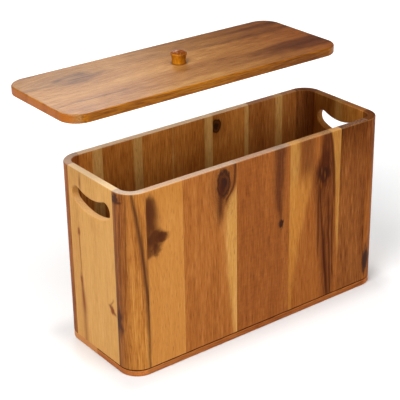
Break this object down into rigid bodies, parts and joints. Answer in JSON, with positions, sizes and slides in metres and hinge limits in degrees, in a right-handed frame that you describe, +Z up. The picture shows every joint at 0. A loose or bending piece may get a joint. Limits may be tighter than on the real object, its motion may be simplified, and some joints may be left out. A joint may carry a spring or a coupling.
{
  "type": "toilet roll storage holder",
  "caption": "Long narrow wooden box with rounded corners, hand holes in its ends and a loose knobbed lid, which keeps spare toilet rolls standing in a row.",
  "frame": {"origin": "middle of the box's footprint, on the surface that it stands on", "axes": "+X along the box, towards its right end; the front faces -Y; +Z up"},
  "size_m": [0.484, 0.206, 0.3835],
  "materials": {
    "wall_wood": "satin lacquer",
    "end_wood": "satin lacquer",
    "base_wood": "satin lacquer",
    "lid_wood": "satin lacquer",
    "knob_wood": "gloss lacquer",
    "steel": "zinc plated"
  },
  "bodies": {
    "box": {"front_stave_1": "wall_wood", "front_stave_2": "wall_wood", "front_stave_3": "wall_wood", "front_stave_4": "wall_wood", "front_stave_5": "wall_wood", "back_stave_1": "wall_wood", "back_stave_2": "wall_wood", "back_stave_3": "wall_wood", "back_stave_4": "wall_wood", "back_stave_5": "wall_wood", "back_stave_6": "wall_wood", "back_stave_7": "wall_wood", "left_end_board": "end_wood", "right_end_board": "end_wood", "corner_back_right": "wall_wood", "corner_back_left": "wall_wood", "corner_front_left": "wall_wood", "corner_front_right": "wall_wood", "base_strip_front": "base_wood", "base_strip_back": "base_wood", "base_screws": "steel"},
    "lid": {"lid_board": "lid_wood", "lid_cleat_right": "lid_wood", "lid_cleat_left": "lid_wood", "cleat_screws": "steel", "lid_knob": "knob_wood", "knob_screw": "steel"}
  },
  "joints": [
    {"name": "lid_lift", "type": "slide", "parent": "box", "child": "lid", "axis": [-0.4036, 0.3944, 0.8255], "range_m": [-0.10878, 0]}
  ]
}
